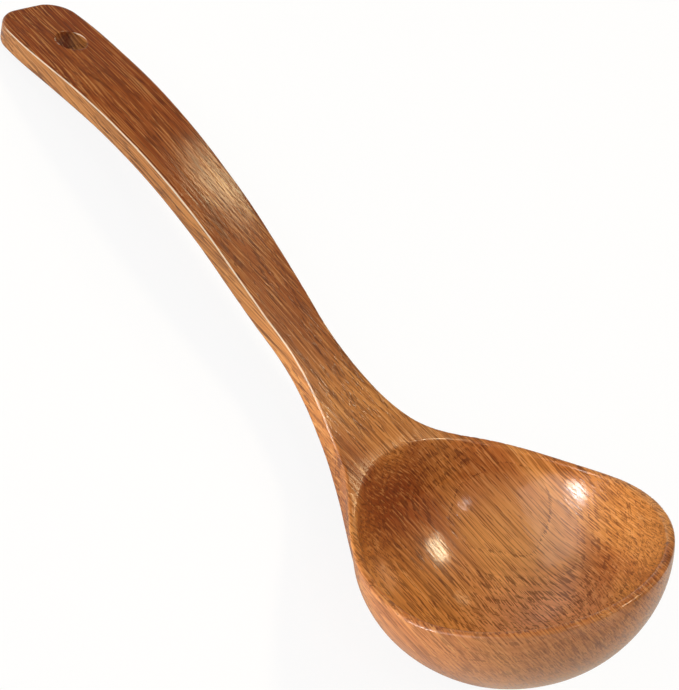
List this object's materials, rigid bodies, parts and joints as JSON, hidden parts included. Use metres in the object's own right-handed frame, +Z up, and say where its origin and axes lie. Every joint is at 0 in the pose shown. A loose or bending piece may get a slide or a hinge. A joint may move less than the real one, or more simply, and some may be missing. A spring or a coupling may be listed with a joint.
{
  "type": "soup ladle",
  "caption": "One-piece carved wooden soup ladle: deep round bowl, swept-back flat handle that rises from its rim, hanging hole near the handle's end.",
  "frame": {"origin": "middle of the ladle's footprint at table height, with the ladle lying on the back of its bowl and the end of its handle", "axes": "+Z up, +X from the handle's end towards the bowl, +Y across the ladle, to the left when looking along +X"},
  "size_m": [0.2714, 0.093, 0.0759],
  "materials": {
    "wood": "clear gloss lacquer over open-grained reddish brown hardwood"
  },
  "bodies": {
    "root": {"carved_ladle": "wood"}
  },
  "joints": []
}
